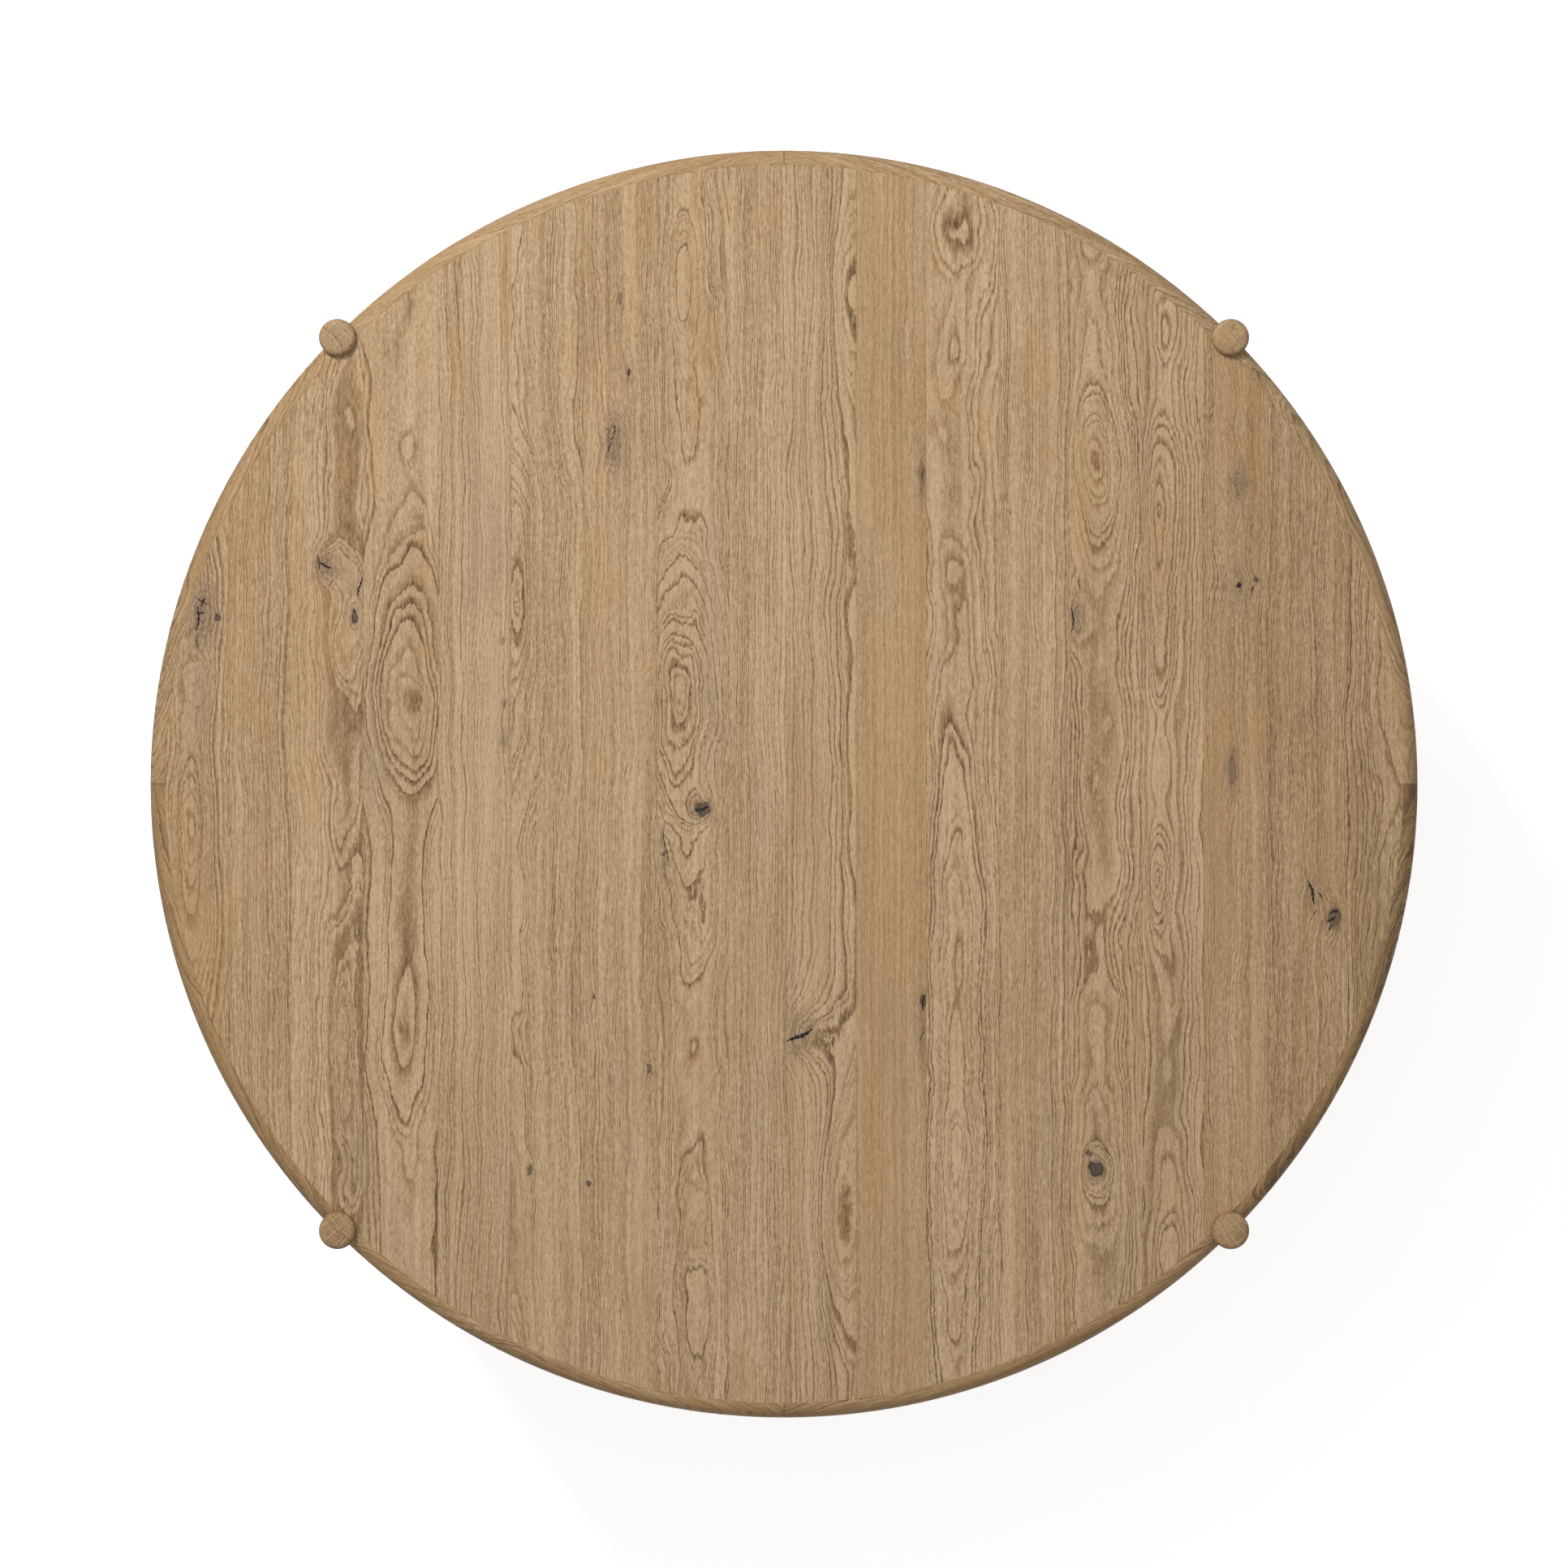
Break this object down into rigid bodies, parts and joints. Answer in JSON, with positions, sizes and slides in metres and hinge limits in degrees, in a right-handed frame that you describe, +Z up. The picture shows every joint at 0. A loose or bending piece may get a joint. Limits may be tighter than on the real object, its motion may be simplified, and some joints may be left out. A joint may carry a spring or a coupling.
{
  "type": "round dining table",
  "caption": "Round oak dining table: a staved top with bullnose edging, notched at its rim for turned posts that stand proud of it, on a railed frame with levelling feet.",
  "frame": {"origin": "on the floor, under the middle of the top", "axes": "+Z up, staves of the top run along Y, the cross rail runs along X, the posts stand on the diagonals"},
  "size_m": [1.524, 1.524, 0.774],
  "materials": {
    "face_oak": "wire-brushed, matt oiled oak",
    "edging_oak": "solid oak bullnose, matt oil",
    "leg_oak": "turned solid oak, matt oil, end grain on the dome",
    "rail_oak": "planed solid oak, matt oil",
    "block_beech": "sawn and planed beech, unfinished",
    "core_plywood": "raw plywood",
    "backing_veneer": "sanded, thin sealer",
    "zinc_steel": "bright zinc plate",
    "foot_nylon": "moulded black nylon"
  },
  "bodies": {
    "table": {"backing_veneer": "backing_veneer", "block_screws": "zinc_steel", "clip_screws": "zinc_steel", "corner_block_back_left": "block_beech", "corner_block_back_right": "block_beech", "corner_block_front_left": "block_beech", "corner_block_front_right": "block_beech", "cross_rail": "rail_oak", "edging_1": "edging_oak", "edging_2": "edging_oak", "edging_3": "edging_oak", "edging_4": "edging_oak", "edging_5": "edging_oak", "edging_6": "edging_oak", "edging_7": "edging_oak", "edging_8": "edging_oak", "face_stave_01": "face_oak", "face_stave_02": "face_oak", "face_stave_03": "face_oak", "face_stave_04": "face_oak", "face_stave_05": "face_oak", "face_stave_06": "face_oak", "face_stave_07": "face_oak", "face_stave_08": "face_oak", "face_stave_09": "face_oak", "face_stave_10": "face_oak", "face_stave_11": "face_oak", "face_stave_12": "face_oak", "face_stave_13": "face_oak", "face_stave_14": "face_oak", "face_stave_15": "face_oak", "face_stave_16": "face_oak", "face_stave_17": "face_oak", "face_stave_18": "face_oak", "hanger_bolts": "zinc_steel", "hanger_nuts": "zinc_steel", "hanger_washers": "zinc_steel", "leg_back_left": "leg_oak", "leg_back_right": "leg_oak", "leg_front_left": "leg_oak", "leg_front_right": "leg_oak", "leg_inserts": "zinc_steel", "rail_back": "rail_oak", "rail_front": "rail_oak", "rail_left": "rail_oak", "rail_right": "rail_oak", "top_clips": "zinc_steel", "top_core": "core_plywood"},
    "pad_back_right": {"foot_pad_back_right": "foot_nylon"},
    "stud_back_right": {"foot_stud_back_right": "zinc_steel"},
    "pad_back_left": {"foot_pad_back_left": "foot_nylon"},
    "stud_back_left": {"foot_stud_back_left": "zinc_steel"},
    "pad_front_left": {"foot_pad_front_left": "foot_nylon"},
    "stud_front_left": {"foot_stud_front_left": "zinc_steel"},
    "pad_front_right": {"foot_pad_front_right": "foot_nylon"},
    "stud_front_right": {"foot_stud_front_right": "zinc_steel"}
  },
  "joints": [
    {"name": "foot_travel_back_right", "type": "slide", "parent": "table", "child": "pad_back_right", "axis": [0, 0, -1], "range_m": [0, 0.012]},
    {"name": "stud_turn_back_right", "type": "hinge", "parent": "pad_back_right", "child": "stud_back_right", "pos_m": [0.53528, 0.53528, 0.02], "axis": [0, 0, 1], "range_deg": [-3456, 0]},
    {"name": "foot_travel_back_left", "type": "slide", "parent": "table", "child": "pad_back_left", "axis": [0, 0, -1], "range_m": [0, 0.012]},
    {"name": "stud_turn_back_left", "type": "hinge", "parent": "pad_back_left", "child": "stud_back_left", "pos_m": [-0.53528, 0.53528, 0.02], "axis": [0, 0, 1], "range_deg": [-3456, 0]},
    {"name": "foot_travel_front_left", "type": "slide", "parent": "table", "child": "pad_front_left", "axis": [0, 0, -1], "range_m": [0, 0.012]},
    {"name": "stud_turn_front_left", "type": "hinge", "parent": "pad_front_left", "child": "stud_front_left", "pos_m": [-0.53528, -0.53528, 0.02], "axis": [0, 0, 1], "range_deg": [-3456, 0]},
    {"name": "foot_travel_front_right", "type": "slide", "parent": "table", "child": "pad_front_right", "axis": [0, 0, -1], "range_m": [0, 0.012]},
    {"name": "stud_turn_front_right", "type": "hinge", "parent": "pad_front_right", "child": "stud_front_right", "pos_m": [0.53528, -0.53528, 0.02], "axis": [0, 0, 1], "range_deg": [-3456, 0]}
  ],
  "couplings": [
    {"joint": "stud_turn_back_right", "follows": "foot_travel_back_right", "rad_per_m": -5026.5},
    {"joint": "stud_turn_back_left", "follows": "foot_travel_back_left", "rad_per_m": -5026.5},
    {"joint": "stud_turn_front_left", "follows": "foot_travel_front_left", "rad_per_m": -5026.5},
    {"joint": "stud_turn_front_right", "follows": "foot_travel_front_right", "rad_per_m": -5026.5}
  ]
}
